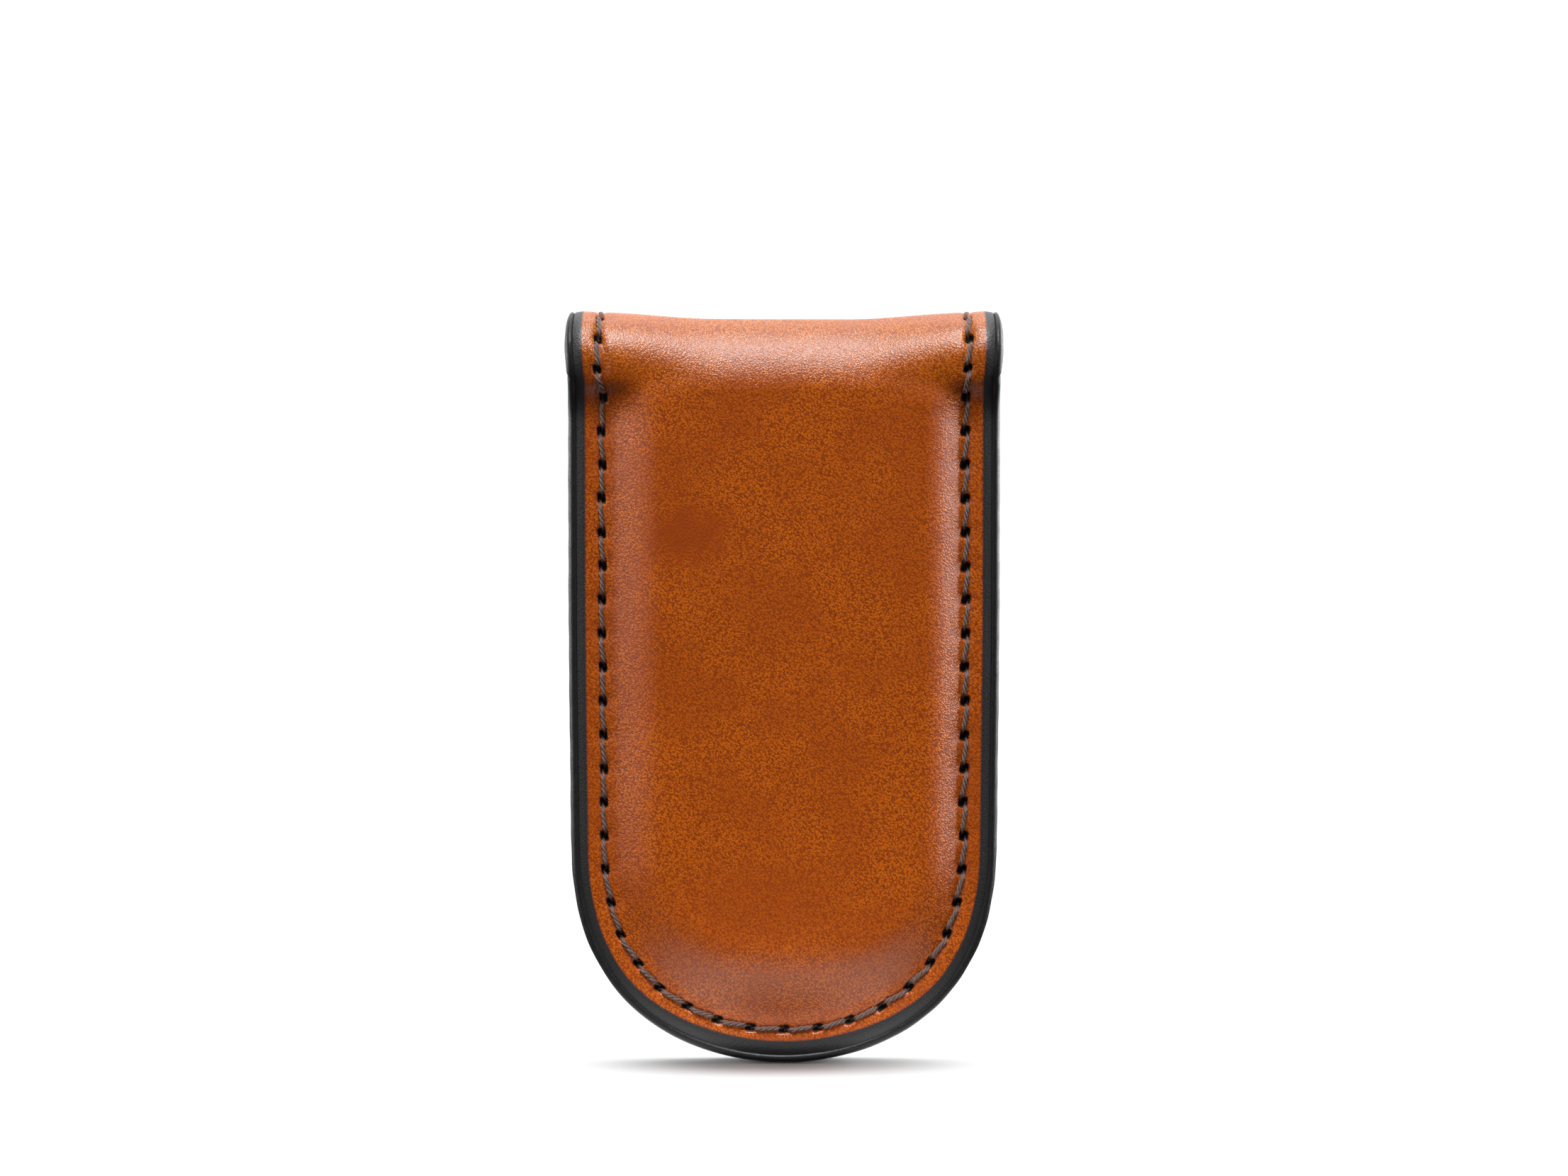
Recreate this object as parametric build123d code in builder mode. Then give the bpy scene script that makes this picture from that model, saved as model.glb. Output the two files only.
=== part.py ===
"""Magnetic money clip: one folded strip of stitched leather with a magnet board in each leg.

Frame: +Z runs up to the fold, the front leg faces -Y, and the origin is on the lowest point of the
rounded leg ends, midway between the legs. Units are millimetres.

The clip has three rigid groups: the front leg, the fold and the back leg. The leather bends between
them, so its solids stop short of each bend line and leave room for the turn.
"""

import math
import os

from build123d import *

# ---- driving dimensions -------------------------------------------------------------------------
HEIGHT = 70.0  # rounded leg ends to the crest of the fold
HALF_WIDTH = 20.0  # to the outside of the edge coat
END_RADIUS = 23.0  # flatter arc at the very tip of a leg
CORNER_RADIUS = 18.2  # arc between the tip and the straight side

GRIP_GAP = 0.3  # between the two linings when the clip is shut
LEATHER = 1.1  # one layer, outer or lining
SHEET = 2 * LEATHER  # outer and lining glued together
BOARD = 1.5
PADDING = 0.65

LOOP_RADIUS = 4.4  # outside of the fold
FLARE_RADIUS = 5.0  # outside of the bend where a leg widens into the fold
LEG_END_ANGLE = 13.0  # the leg's leather stops here, above the loop's widest point
FOLD_START_ANGLE = 37.0  # and the fold's leather starts here

EDGE_COAT = 0.95  # how far the painted bead stands beyond the leather
EDGE_COAT_AT_FOLD = 1.25  # squeezed wider where the strip bends

SEAM_INSET = 3.1
STITCH_PITCH = 3.15
STITCH_LENGTH = 2.1
BOBBIN_FOLD_STITCH = 0.85
FOLD_STITCH_ANGLES = (52.0, 90.0, 128.0)  # round the loop from level, at the middle of each stitch
THREAD_RADIUS = 0.28
THREAD_END_FILLET = 0.7 * THREAD_RADIUS
GROOVE_HALF_WIDTH = 0.4
GROOVE_OVERRUN = 0.2  # how far a groove's cutter reaches out past a bent surface
NEEDLE_GROOVE = 0.35  # depth of the stitch groove in the outer leather
FLARE_GROOVE_EXTRA = 0.1  # a straight stitch needs more depth inside a hollow bend
BOBBIN_GROOVE = 0.65
NEEDLE_DEPTH = -0.02  # thread centre below the outer surface
BOBBIN_DEPTH = SHEET - 0.33  # the same for the inside thread, measured from the same surface

BULGE_BASE_INSET = 3.6
PLATEAU = dict(half_width=13.0, low=10.0, end_radius=24.0, corner_radius=7.4)
BOARD_SHAPE = dict(half_width=12.6, low=10.4, end_radius=23.6, corner_radius=7.0)
BOARD_TOP_FILLET = 1.5
BOARD_TOP_GAP = 0.2  # from the board's top edge up to where the leg starts to bend
PADDING_CHAMFER = 0.4

MAGNET_SIZE = (20.0, 10.0, 1.4)
MAGNET_CORNER = 1.0
MAGNET_CLEARANCE = 0.1
LOWER_MAGNET_Z = 20.0
UPPER_MAGNET_Z = 36.0

TAPE = 0.2  # reinforcement between the layers over the fold

# ---- worked-out dimensions ----------------------------------------------------------------------
INNER_FACE = GRIP_GAP / 2
BOARD_FACE = INNER_FACE + LEATHER
MARGIN_FACE = BOARD_FACE + LEATHER
PADDING_FACE = BOARD_FACE + BOARD
CAVITY_FACE = PADDING_FACE + PADDING
PLATEAU_FACE = CAVITY_FACE + LEATHER

LOOP_Z = HEIGHT - LOOP_RADIUS
FLARE_ANGLE = math.degrees(
    math.acos((MARGIN_FACE + FLARE_RADIUS) / (LOOP_RADIUS + FLARE_RADIUS))
)
FLARE_Y = -(MARGIN_FACE + FLARE_RADIUS)
FLARE_Z = LOOP_Z - (LOOP_RADIUS + FLARE_RADIUS) * math.sin(math.radians(FLARE_ANGLE))
FOLD_ARC = 180.0 - 2 * FOLD_START_ANGLE
LOOP_AXIS = Axis((0, 0, LOOP_Z), (1, 0, 0))
BOARD_TOP = FLARE_Z - BOARD_TOP_GAP

LEG_SHAPE = dict(
    half_width=HALF_WIDTH, low=0.0, end_radius=END_RADIUS, corner_radius=CORNER_RADIUS
)


# ---- shared profiles ----------------------------------------------------------------------------
def loop_point(depth, angle):
    """A point in the YZ plane on the loop, at a depth below its outside and an angle above level."""
    radius = LOOP_RADIUS - depth
    turn = math.radians(angle)
    return (-radius * math.cos(turn), LOOP_Z + radius * math.sin(turn))


def end_line(shape, inset, top):
    """Draws a leg end, open at the top: straight side, corner arc, end arc, corner arc, side."""
    side = shape["half_width"] - inset
    corner_x = shape["half_width"] - shape["corner_radius"]
    corner = shape["corner_radius"] - inset
    end_z = shape["low"] + shape["end_radius"]
    reach = shape["end_radius"] - shape["corner_radius"]
    drop = math.sqrt(reach**2 - corner_x**2)
    corner_z = end_z - drop
    turn = math.degrees(math.atan2(drop, corner_x))
    Line((-side, top), (-side, corner_z))
    CenterArc((-corner_x, corner_z), corner, 180, turn)
    CenterArc((0, end_z), shape["end_radius"] - inset, 180 + turn, 180 - 2 * turn)
    CenterArc((corner_x, corner_z), corner, 360 - turn, turn)
    Line((side, corner_z), (side, top))


def leg_outline(shape, inset=0.0, top=HEIGHT):
    """Fills a leg end up to a level top edge, in the sketch that is open."""
    side = shape["half_width"] - inset
    with BuildLine() as outline:
        end_line(shape, inset, top)
        Line((side, top), (-side, top))
    make_face(outline.edges())


def strip_side(outer_depth, inner_depth, top_angle=LEG_END_ANGLE):
    """Fills the side view of one layer of the front leg, in the YZ sketch that is open."""
    with BuildLine() as side_view:
        for depth in (outer_depth, inner_depth):
            margin_y = depth - MARGIN_FACE
            Line((margin_y, 0), (margin_y, FLARE_Z))
            CenterArc((FLARE_Y, FLARE_Z), FLARE_RADIUS + depth, 0, FLARE_ANGLE)
            CenterArc(
                (0, LOOP_Z),
                LOOP_RADIUS - depth,
                180 - top_angle,
                FLARE_ANGLE + top_angle,
            )
        Line((outer_depth - MARGIN_FACE, 0), (inner_depth - MARGIN_FACE, 0))
        Line(loop_point(outer_depth, top_angle), loop_point(inner_depth, top_angle))
    make_face(side_view.edges())


def leg_path(inset, depth, top_angle):
    """The line that follows a leg's outline at an inset and a depth, from loop to loop."""
    side = HALF_WIDTH - inset
    sides = []
    for x in (-side, side):
        with BuildLine(Plane.YZ.offset(x)) as bend:
            CenterArc((FLARE_Y, FLARE_Z), FLARE_RADIUS + depth, 0, FLARE_ANGLE)
            CenterArc(
                (0, LOOP_Z),
                LOOP_RADIUS - depth,
                180 - top_angle,
                FLARE_ANGLE + top_angle,
            )
        sides.append(bend)
    with BuildLine(Plane.XZ.offset(MARGIN_FACE - depth)) as end:
        end_line(LEG_SHAPE, inset, FLARE_Z)
    return Wire([*sides[0].edges(), *end.edges(), *sides[1].edges()])


def flat_leg_path(inset, depth):
    """The same line without its bends, so it lies in one plane."""
    with BuildLine(Plane.XZ.offset(MARGIN_FACE - depth)) as end:
        end_line(LEG_SHAPE, inset, FLARE_Z)
    return end.wires()[0]


def stitch_places(path):
    """Planes along a path, one stitch pitch apart, each with +Z along the path."""
    count = round(path.length / STITCH_PITCH)
    shares = [(i + 0.5) / count for i in range(count)]
    return [
        Plane(origin=path.position_at(s), z_dir=path.tangent_at(s)) for s in shares
    ]


def fold_stitch_places(depth):
    """Planes for the stitches that lie across the fold, three on each side."""
    places = []
    for x in (-(HALF_WIDTH - SEAM_INSET), HALF_WIDTH - SEAM_INSET):
        for angle in FOLD_STITCH_ANGLES:
            y, z = loop_point(depth, angle)
            along = math.radians(angle)
            places.append(
                Plane(origin=(x, y, z), z_dir=(0, math.sin(along), math.cos(along)))
            )
    return places


def bead_profile(bulge):
    """Fills the half-round section of the edge coat, flat side against the leather."""
    with BuildLine() as half_round:
        Line((0, -SHEET / 2), (0, SHEET / 2))
        ThreePointArc((0, -SHEET / 2), (bulge, 0), (0, SHEET / 2))
    make_face(half_round.edges())


def seam_groove_on_leg(face, depth):
    """Cuts the stitch groove round a leg, down from the flat face at that distance from y = 0."""
    with BuildSketch(Plane.XZ.offset(face)) as ring:
        leg_outline(LEG_SHAPE, SEAM_INSET - GROOVE_HALF_WIDTH, FLARE_Z)
        with BuildSketch(mode=Mode.SUBTRACT):
            leg_outline(LEG_SHAPE, SEAM_INSET + GROOVE_HALF_WIDTH, FLARE_Z)
    extrude(ring.sketch, amount=depth, mode=Mode.SUBTRACT)


def seam_groove_on_bend(centre, inner_radius, outer_radius):
    """Cuts the stitch groove on both sides where it runs round a bend about that centre."""
    low_x = HALF_WIDTH - SEAM_INSET - GROOVE_HALF_WIDTH
    for x in (low_x, -low_x - 2 * GROOVE_HALF_WIDTH):
        with BuildSketch(Plane.YZ.offset(x)) as ring:
            with Locations(centre):
                Circle(outer_radius)
                Circle(inner_radius, mode=Mode.SUBTRACT)
        extrude(ring.sketch, amount=2 * GROOVE_HALF_WIDTH, mode=Mode.SUBTRACT)


def needle_groove_on_loop():
    """The outer leather's groove over the loop."""
    groove_floor = LOOP_RADIUS - NEEDLE_GROOVE
    seam_groove_on_bend((0, LOOP_Z), groove_floor, LOOP_RADIUS + GROOVE_OVERRUN)


def needle_grooves_on_bends():
    """The outer leather's groove over the loop and, deeper, in the hollow of the flare."""
    needle_groove_on_loop()
    flare_depth = NEEDLE_GROOVE + FLARE_GROOVE_EXTRA
    seam_groove_on_bend(
        (FLARE_Y, FLARE_Z), FLARE_RADIUS - GROOVE_OVERRUN, FLARE_RADIUS + flare_depth
    )


def fold_sector(outer_depth, inner_depth):
    """Fills the side view of one layer of the fold, in the YZ sketch that is open."""
    with BuildLine() as side_view:
        for depth in (outer_depth, inner_depth):
            CenterArc((0, LOOP_Z), LOOP_RADIUS - depth, FOLD_START_ANGLE, FOLD_ARC)
        for angle in (FOLD_START_ANGLE, 180 - FOLD_START_ANGLE):
            Line(loop_point(outer_depth, angle), loop_point(inner_depth, angle))
    make_face(side_view.edges())


# ---- a stitch of each length --------------------------------------------------------------------
def stitch(length):
    """One straight stitch of waxed thread lying along Z, with rounded ends."""
    with BuildPart() as one:
        Cylinder(THREAD_RADIUS, length)
        fillet(one.edges().filter_by(GeomType.CIRCLE), THREAD_END_FILLET)
    return one.part


full_stitch = stitch(STITCH_LENGTH)
short_stitch = stitch(BOBBIN_FOLD_STITCH)

leather_side = HALF_WIDTH - EDGE_COAT

# ---- front leg: leathers ------------------------------------------------------------------------
with BuildPart() as front_outer_leather:
    with BuildSketch(Plane.YZ.offset(-leather_side)):
        strip_side(0, LEATHER)
    extrude(amount=2 * leather_side)
    with BuildSketch(Plane.XZ):
        leg_outline(LEG_SHAPE, EDGE_COAT)
    extrude(amount=HALF_WIDTH, mode=Mode.INTERSECT)
    # the bulge that the board and its padding push up
    with BuildSketch(Plane.XZ.offset(BOARD_FACE)):
        leg_outline(LEG_SHAPE, BULGE_BASE_INSET, LOOP_Z)
    extrude(amount=LEATHER)
    with BuildSketch(Plane.XZ.offset(MARGIN_FACE)):
        leg_outline(LEG_SHAPE, BULGE_BASE_INSET, LOOP_Z)
    with BuildSketch(Plane.XZ.offset(PLATEAU_FACE)):
        leg_outline(PLATEAU, 0, LOOP_Z)
    loft(ruled=True)
    # the lining's side of the glue line stays free
    with BuildSketch(Plane.YZ.offset(-HALF_WIDTH)):
        strip_side(LEATHER, SHEET + LEATHER)
    extrude(amount=2 * HALF_WIDTH, mode=Mode.SUBTRACT)
    # the pocket for the board and the padding
    with BuildSketch(Plane.XZ.offset(BOARD_FACE)):
        leg_outline(BOARD_SHAPE, 0, BOARD_TOP)
    extrude(amount=BOARD + PADDING, mode=Mode.SUBTRACT)
    seam_groove_on_leg(MARGIN_FACE - NEEDLE_GROOVE, NEEDLE_GROOVE)
    needle_grooves_on_bends()
front_outer_leather.part.label = "front_outer_leather"

with BuildPart() as front_lining:
    with BuildSketch(Plane.YZ.offset(-leather_side)):
        strip_side(LEATHER, SHEET)
    extrude(amount=2 * leather_side)
    with BuildSketch(Plane.XZ):
        leg_outline(LEG_SHAPE, EDGE_COAT)
    extrude(amount=HALF_WIDTH, mode=Mode.INTERSECT)
    seam_groove_on_leg(INNER_FACE, BOBBIN_GROOVE)
front_lining.part.label = "front_lining"

# ---- front leg: what the leathers hold ----------------------------------------------------------
with BuildPart() as front_magnet_board:
    with BuildSketch(Plane.XZ.offset(BOARD_FACE)) as board_sketch:
        leg_outline(BOARD_SHAPE, 0, BOARD_TOP)
        fillet(board_sketch.vertices().group_by(Axis.Z)[-1], BOARD_TOP_FILLET)
        with Locations((0, LOWER_MAGNET_Z), (0, UPPER_MAGNET_Z)):
            Rectangle(
                MAGNET_SIZE[0] + 2 * MAGNET_CLEARANCE,
                MAGNET_SIZE[1] + 2 * MAGNET_CLEARANCE,
                mode=Mode.SUBTRACT,
            )
    extrude(amount=BOARD)
front_magnet_board.part.label = "front_magnet_board"


def magnet(centre_z):
    """A flat block magnet with rounded corners, resting in its pocket in the front board."""
    with BuildPart() as block:
        with BuildSketch(Plane.XZ.offset(BOARD_FACE + (BOARD - MAGNET_SIZE[2]) / 2)):
            with Locations((0, centre_z)):
                RectangleRounded(MAGNET_SIZE[0], MAGNET_SIZE[1], MAGNET_CORNER)
        extrude(amount=MAGNET_SIZE[2])
    return block.part


front_lower_magnet = magnet(LOWER_MAGNET_Z)
front_lower_magnet.label = "front_lower_magnet"
front_upper_magnet = magnet(UPPER_MAGNET_Z)
front_upper_magnet.label = "front_upper_magnet"

with BuildPart() as front_padding:
    with BuildSketch(Plane.XZ.offset(PADDING_FACE)):
        leg_outline(BOARD_SHAPE, 0, BOARD_TOP)
    extrude(amount=PADDING)
    chamfer(
        front_padding.faces().sort_by(Axis.Y)[0].edges().filter_by(GeomType.LINE),
        PADDING_CHAMFER,
    )
front_padding.part.label = "front_padding"

# ---- front leg: edge coat and threads -----------------------------------------------------------
bead_path = leg_path(EDGE_COAT, LEATHER, LEG_END_ANGLE)
bead_start = bead_path.position_at(0)
with BuildPart() as front_edge_coat:
    with BuildSketch(
        Plane(
            origin=bead_start,
            x_dir=(bead_start.X, 0, 0),
            z_dir=bead_path.tangent_at(0),
        )
    ):
        bead_profile(EDGE_COAT)
    sweep(path=bead_path)
front_edge_coat.part.label = "front_edge_coat"

with BuildPart() as front_needle_thread:
    with Locations(*stitch_places(leg_path(SEAM_INSET, NEEDLE_DEPTH, LEG_END_ANGLE))):
        add(full_stitch)
front_needle_thread.part.label = "front_needle_thread"

with BuildPart() as front_bobbin_thread:
    with Locations(*stitch_places(flat_leg_path(SEAM_INSET, BOBBIN_DEPTH))):
        add(full_stitch)
front_bobbin_thread.part.label = "front_bobbin_thread"

# ---- fold ---------------------------------------------------------------------------------------
with BuildPart() as fold_outer_leather:
    with BuildSketch(Plane.YZ.offset(-leather_side)):
        fold_sector(0, LEATHER - TAPE / 2)
    extrude(amount=2 * leather_side)
    needle_groove_on_loop()
fold_outer_leather.part.label = "fold_outer_leather"

with BuildPart() as fold_tape:
    with BuildSketch(Plane.YZ.offset(-leather_side)):
        fold_sector(LEATHER - TAPE / 2, LEATHER + TAPE / 2)
    extrude(amount=2 * leather_side)
fold_tape.part.label = "fold_tape"

with BuildPart() as fold_lining:
    with BuildSketch(Plane.YZ.offset(-leather_side)):
        fold_sector(LEATHER + TAPE / 2, SHEET)
    extrude(amount=2 * leather_side)
    lining_radius = LOOP_RADIUS - SHEET
    groove_floor = lining_radius + BOBBIN_GROOVE
    seam_groove_on_bend((0, LOOP_Z), lining_radius - GROOVE_OVERRUN, groove_floor)
fold_lining.part.label = "fold_lining"

with BuildPart() as fold_edge_coat:
    start_y, start_z = loop_point(LEATHER, FOLD_START_ANGLE)
    with BuildSketch(
        Plane(
            origin=(leather_side, start_y, start_z),
            x_dir=(1, 0, 0),
            z_dir=(
                0,
                math.sin(math.radians(FOLD_START_ANGLE)),
                math.cos(math.radians(FOLD_START_ANGLE)),
            ),
        )
    ):
        bead_profile(EDGE_COAT_AT_FOLD)
    revolve(axis=LOOP_AXIS, revolution_arc=-FOLD_ARC)
    mirror(about=Plane.YZ)
fold_edge_coat.part.label = "fold_edge_coat"

with BuildPart() as fold_needle_thread:
    with Locations(*fold_stitch_places(NEEDLE_DEPTH)):
        add(full_stitch)
fold_needle_thread.part.label = "fold_needle_thread"

with BuildPart() as fold_bobbin_thread:
    with Locations(*fold_stitch_places(BOBBIN_DEPTH)):
        add(short_stitch)
fold_bobbin_thread.part.label = "fold_bobbin_thread"

# ---- back leg: the front leg's pieces, mirrored -------------------------------------------------
front_pieces = [
    front_outer_leather.part,
    front_lining.part,
    front_magnet_board.part,
    front_lower_magnet,
    front_upper_magnet,
    front_padding.part,
    front_edge_coat.part,
    front_needle_thread.part,
    front_bobbin_thread.part,
]
fold_pieces = [
    fold_outer_leather.part,
    fold_tape.part,
    fold_lining.part,
    fold_edge_coat.part,
    fold_needle_thread.part,
    fold_bobbin_thread.part,
]
back_pieces = []
for piece in front_pieces:
    with BuildPart() as back_piece:
        mirror(piece, about=Plane.XZ)
    back_piece.part.label = piece.label.replace("front", "back")
    back_pieces.append(back_piece.part)

os.makedirs("parts", exist_ok=True)
for piece in front_pieces + fold_pieces + back_pieces:
    export_step(piece, f"parts/{piece.label}.step")
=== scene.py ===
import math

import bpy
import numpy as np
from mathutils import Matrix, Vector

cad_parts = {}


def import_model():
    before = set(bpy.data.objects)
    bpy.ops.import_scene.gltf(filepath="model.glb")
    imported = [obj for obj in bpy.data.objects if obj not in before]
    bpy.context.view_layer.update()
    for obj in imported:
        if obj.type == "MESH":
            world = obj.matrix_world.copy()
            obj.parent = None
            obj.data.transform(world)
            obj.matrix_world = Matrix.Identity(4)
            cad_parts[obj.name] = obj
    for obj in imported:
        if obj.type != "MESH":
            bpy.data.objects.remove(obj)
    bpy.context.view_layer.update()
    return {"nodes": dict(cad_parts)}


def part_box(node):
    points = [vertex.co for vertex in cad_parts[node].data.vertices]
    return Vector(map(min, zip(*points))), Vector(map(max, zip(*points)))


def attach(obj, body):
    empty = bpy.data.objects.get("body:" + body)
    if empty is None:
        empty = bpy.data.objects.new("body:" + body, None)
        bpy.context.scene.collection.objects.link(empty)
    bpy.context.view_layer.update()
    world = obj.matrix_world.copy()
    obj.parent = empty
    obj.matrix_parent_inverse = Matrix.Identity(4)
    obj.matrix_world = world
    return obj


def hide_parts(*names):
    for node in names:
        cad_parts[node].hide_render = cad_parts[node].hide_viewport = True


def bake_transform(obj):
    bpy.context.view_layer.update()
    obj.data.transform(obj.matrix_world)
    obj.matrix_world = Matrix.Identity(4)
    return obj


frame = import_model()

# The looks of the folded leather money clip. The strip of leather is described once, flattened out:
# x runs across it and "along" runs up the front leg, over the crest and down the back leg. Every soft
# piece is a mesh laid out on that flat strip and then bent into place. Lengths are in millimetres
# until a mesh is made. A name that ends in _SPAN gives the two places between which something eases
# in, and one that ends in _PLACE gives a bump's middle and reach.

MM = 0.001


# ---- sizes, from the frame
def box_mm(node):
    """A node's lowest and highest corners at rest."""
    low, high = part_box(node)
    return np.array(low) / MM, np.array(high) / MM


outer_low, outer_high = box_mm("front_outer_leather")
board_low, board_high = box_mm("front_magnet_board")
padding_low, padding_high = box_mm("front_padding")

HEIGHT = box_mm("fold_outer_leather")[1][2]
HALF_WIDTH = box_mm("front_edge_coat")[1][0]
EDGE_COAT = HALF_WIDTH - outer_high[0]
FOLD_COAT = box_mm("fold_edge_coat")[1][0] - outer_high[0]
PLATEAU_FACE = -outer_low[1]
GRIP_FACE = -box_mm("front_lining")[1][1]
BOARD_FACE = -board_high[1]
BOARD_THICKNESS = board_high[1] - board_low[1]
LEATHER = BOARD_FACE - GRIP_FACE
MARGIN_FACE = BOARD_FACE + LEATHER
SHEET = 2 * LEATHER
GLUE = 0.16
TINY = 1e-9

# the bends and the outline, as in the part
LOOP_RADIUS = 4.4
FLARE_RADIUS = 5.0
END_RADIUS = 23.0
CORNER_RADIUS = 18.2

LOOP_Z = HEIGHT - LOOP_RADIUS
FLARE_ANGLE = math.acos((MARGIN_FACE + FLARE_RADIUS) / (LOOP_RADIUS + FLARE_RADIUS))
FLARE_Y = -(MARGIN_FACE + FLARE_RADIUS)
FLARE_Z = LOOP_Z - (LOOP_RADIUS + FLARE_RADIUS) * math.sin(FLARE_ANGLE)
LOOP_START = FLARE_Z + FLARE_RADIUS * FLARE_ANGLE
CREST = LOOP_START + LOOP_RADIUS * (FLARE_ANGLE + math.pi / 2)

CORNER_X = HALF_WIDTH - CORNER_RADIUS
CORNER_DROP = math.sqrt((END_RADIUS - CORNER_RADIUS) ** 2 - CORNER_X**2)
CORNER_Z = END_RADIUS - CORNER_DROP
CORNER_TURN = math.atan2(CORNER_DROP, CORNER_X)

# the bulge over the board, with a wider slope on the left
BULGE_BASE_INSET = 3.6
BULGE_BASE_INSET_RIGHT = 3.15
PLATEAU_LEFT = -10.5
PLATEAU_RIGHT = 12.5
PLATEAU_BOTTOM = 12.2
PLATEAU_CORNER = 6.8
SLOPE_FOOT = 0.2
SLOPE_SHOULDER = 0.62
RIGHTWARD_SPAN = (8, 15)
ABOVE_END_SPAN = (6, 14)

# the middle of the fold sags and is blunter than its ends
CROWN_START = 62.8
CROWN_SAG = 0.8
CROWN_POWER = 1.65
CROWN_ACROSS_SPAN = (20.0, 6.0)
CROWN_TAKES_OVER_SPAN = (61.5, 65.5)
SAG_START = 63.0
POCKET_END_SPAN = (60.3, 64.5)

# seam
SEAM_INSET = 3.15
STITCH_COUNT = 51
SLIT_LENGTH = 0.46
SLIT_WIDTH = 0.33
SLIT_DEPTH = 0.65
SEAM_SLANT_LEFT = math.radians(6)
SEAM_SLANT_RIGHT = math.radians(-9)
SLANT_CHANGE_SHARE = 0.62
SLANT_CHANGE_X = 9
HOLE_JITTER_ALONG = 0.07
HOLE_JITTER_ACROSS = 0.06
HOLE_JITTER_TURN = 0.05
PULL_REACH = 0.9

# the rounded coat ends in a crease, and the leather's face is painted a little way in from there
CREASE_INSET = 0.8
PAINT_INSET = 1.55
PAINT_EXTRA_AT_END = 0.55
PAINT_EXTRA_SPAN = (1.0, 9.0)
PAINT_FADE = 0.6


# ---- the strip
def smooth(low, high, value):
    """0 before low, 1 after high, eased in between."""
    t = np.clip((value - low) / (high - low), 0, 1)
    return t * t * (3 - 2 * t)


def bump_at(centre, reach, value):
    """1 at the centre, falling off on both sides."""
    return np.exp(-(((value - centre) / reach) ** 2))


def strip(along, depth=0.0):
    """Side view of the strip at its edges: y and z of a point that far along it and that deep in it."""
    flared = np.clip((along - FLARE_Z) / FLARE_RADIUS, 0, FLARE_ANGLE)
    looped = np.maximum((along - LOOP_START) / LOOP_RADIUS, 0)
    heading = FLARE_ANGLE - looped
    radius = LOOP_RADIUS - depth
    y_leg = FLARE_Y + (FLARE_RADIUS + depth) * np.cos(flared)
    z_leg = np.minimum(along, FLARE_Z) + (FLARE_RADIUS + depth) * np.sin(flared)
    on_loop = along > LOOP_START
    y = np.where(on_loop, -radius * np.cos(heading), y_leg)
    z = np.where(on_loop, LOOP_Z - radius * np.sin(heading), z_leg)
    return y, z


def crown_table():
    """The side view of the fold at its middle, a blunt superellipse, by the share of its length."""
    turn = np.linspace(0, math.pi / 2, 4001)
    rise = HEIGHT - CROWN_SAG - CROWN_START
    y = -PLATEAU_FACE * np.cos(turn) ** (2 / CROWN_POWER)
    z = CROWN_START + rise * np.sin(turn) ** (2 / CROWN_POWER)
    steps = np.hypot(np.diff(y), np.diff(z))
    share = np.concatenate([[0], np.cumsum(steps)]) / steps.sum()
    return share, y, z


CROWN = crown_table()


def crown(along):
    """Side view of the strip at its middle, where the board pushes it out."""
    over = along > CREST
    folded = np.where(over, 2 * CREST - along, along)
    share = np.clip((folded - CROWN_START) / (CREST - CROWN_START), 0, 1)
    y = np.interp(share, CROWN[0], CROWN[1])
    z = np.where(folded < CROWN_START, folded, np.interp(share, CROWN[0], CROWN[2]))
    return np.where(over, -y, y), z


def inset(x, along):
    """How far inside the strip's outline a flattened point lies."""
    side = HALF_WIDTH - np.abs(x)
    corner = CORNER_RADIUS - np.hypot(np.abs(x) - CORNER_X, along - CORNER_Z)
    end = END_RADIUS - np.hypot(x, along - END_RADIUS)
    in_end = np.abs(x) * CORNER_DROP < CORNER_X * (END_RADIUS - along)
    return np.where(along > CORNER_Z, side, np.where(in_end, end, corner))


def slope_table():
    """The rise of the bulge's slope: steepening over its foot and flattening over its shoulder."""
    t = np.linspace(0, 1, 1001)
    steepness = smooth(0, SLOPE_FOOT, t) * (1 - smooth(1 - SLOPE_SHOULDER, 1, t))
    rise = np.concatenate([[0], np.cumsum((steepness[1:] + steepness[:-1]) / 2)])
    return t, rise / rise[-1]


SLOPE = slope_table()


def leg_bulge(x, along):
    """0 on the margin, 1 on the plateau, and a slope with soft edges between them."""
    middle = (PLATEAU_LEFT + PLATEAU_RIGHT) / 2
    half = (PLATEAU_RIGHT - PLATEAU_LEFT) / 2
    across = np.abs(x - middle) - (half - PLATEAU_CORNER)
    down = PLATEAU_BOTTOM + PLATEAU_CORNER - along
    away = np.hypot(np.maximum(across, 0), np.maximum(down, 0)) - PLATEAU_CORNER
    away = np.maximum(away, 0)
    rightward = smooth(*RIGHTWARD_SPAN, x) * smooth(*ABOVE_END_SPAN, along)
    start = BULGE_BASE_INSET + (BULGE_BASE_INSET_RIGHT - BULGE_BASE_INSET) * rightward
    base = np.maximum(inset(x, along) - start, 0)
    return np.interp(base / (base + away + TINY), *SLOPE)


def fold_bulge(x):
    """0 at the sides of the fold and 1 across its middle."""
    return smooth(*CROWN_ACROSS_SPAN, np.abs(x))


WAVE_HEIGHT = 0.02
WAVES = ((0.31, 0.23, 0.4, 1.0), (-0.17, 0.41, 2.1, 0.8), (0.53, -0.12, 4.0, 0.5), (0.7, 0.66, 1.2, 0.35))


def undulation(x, along):
    """A slow unevenness of the leather, the same on both sides of the crest."""
    height = np.zeros_like(x)
    for per_x, per_along, phase, size in WAVES:
        height = height + size * np.sin(per_x * x + per_along * along + phase)
    return WAVE_HEIGHT * height


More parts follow.
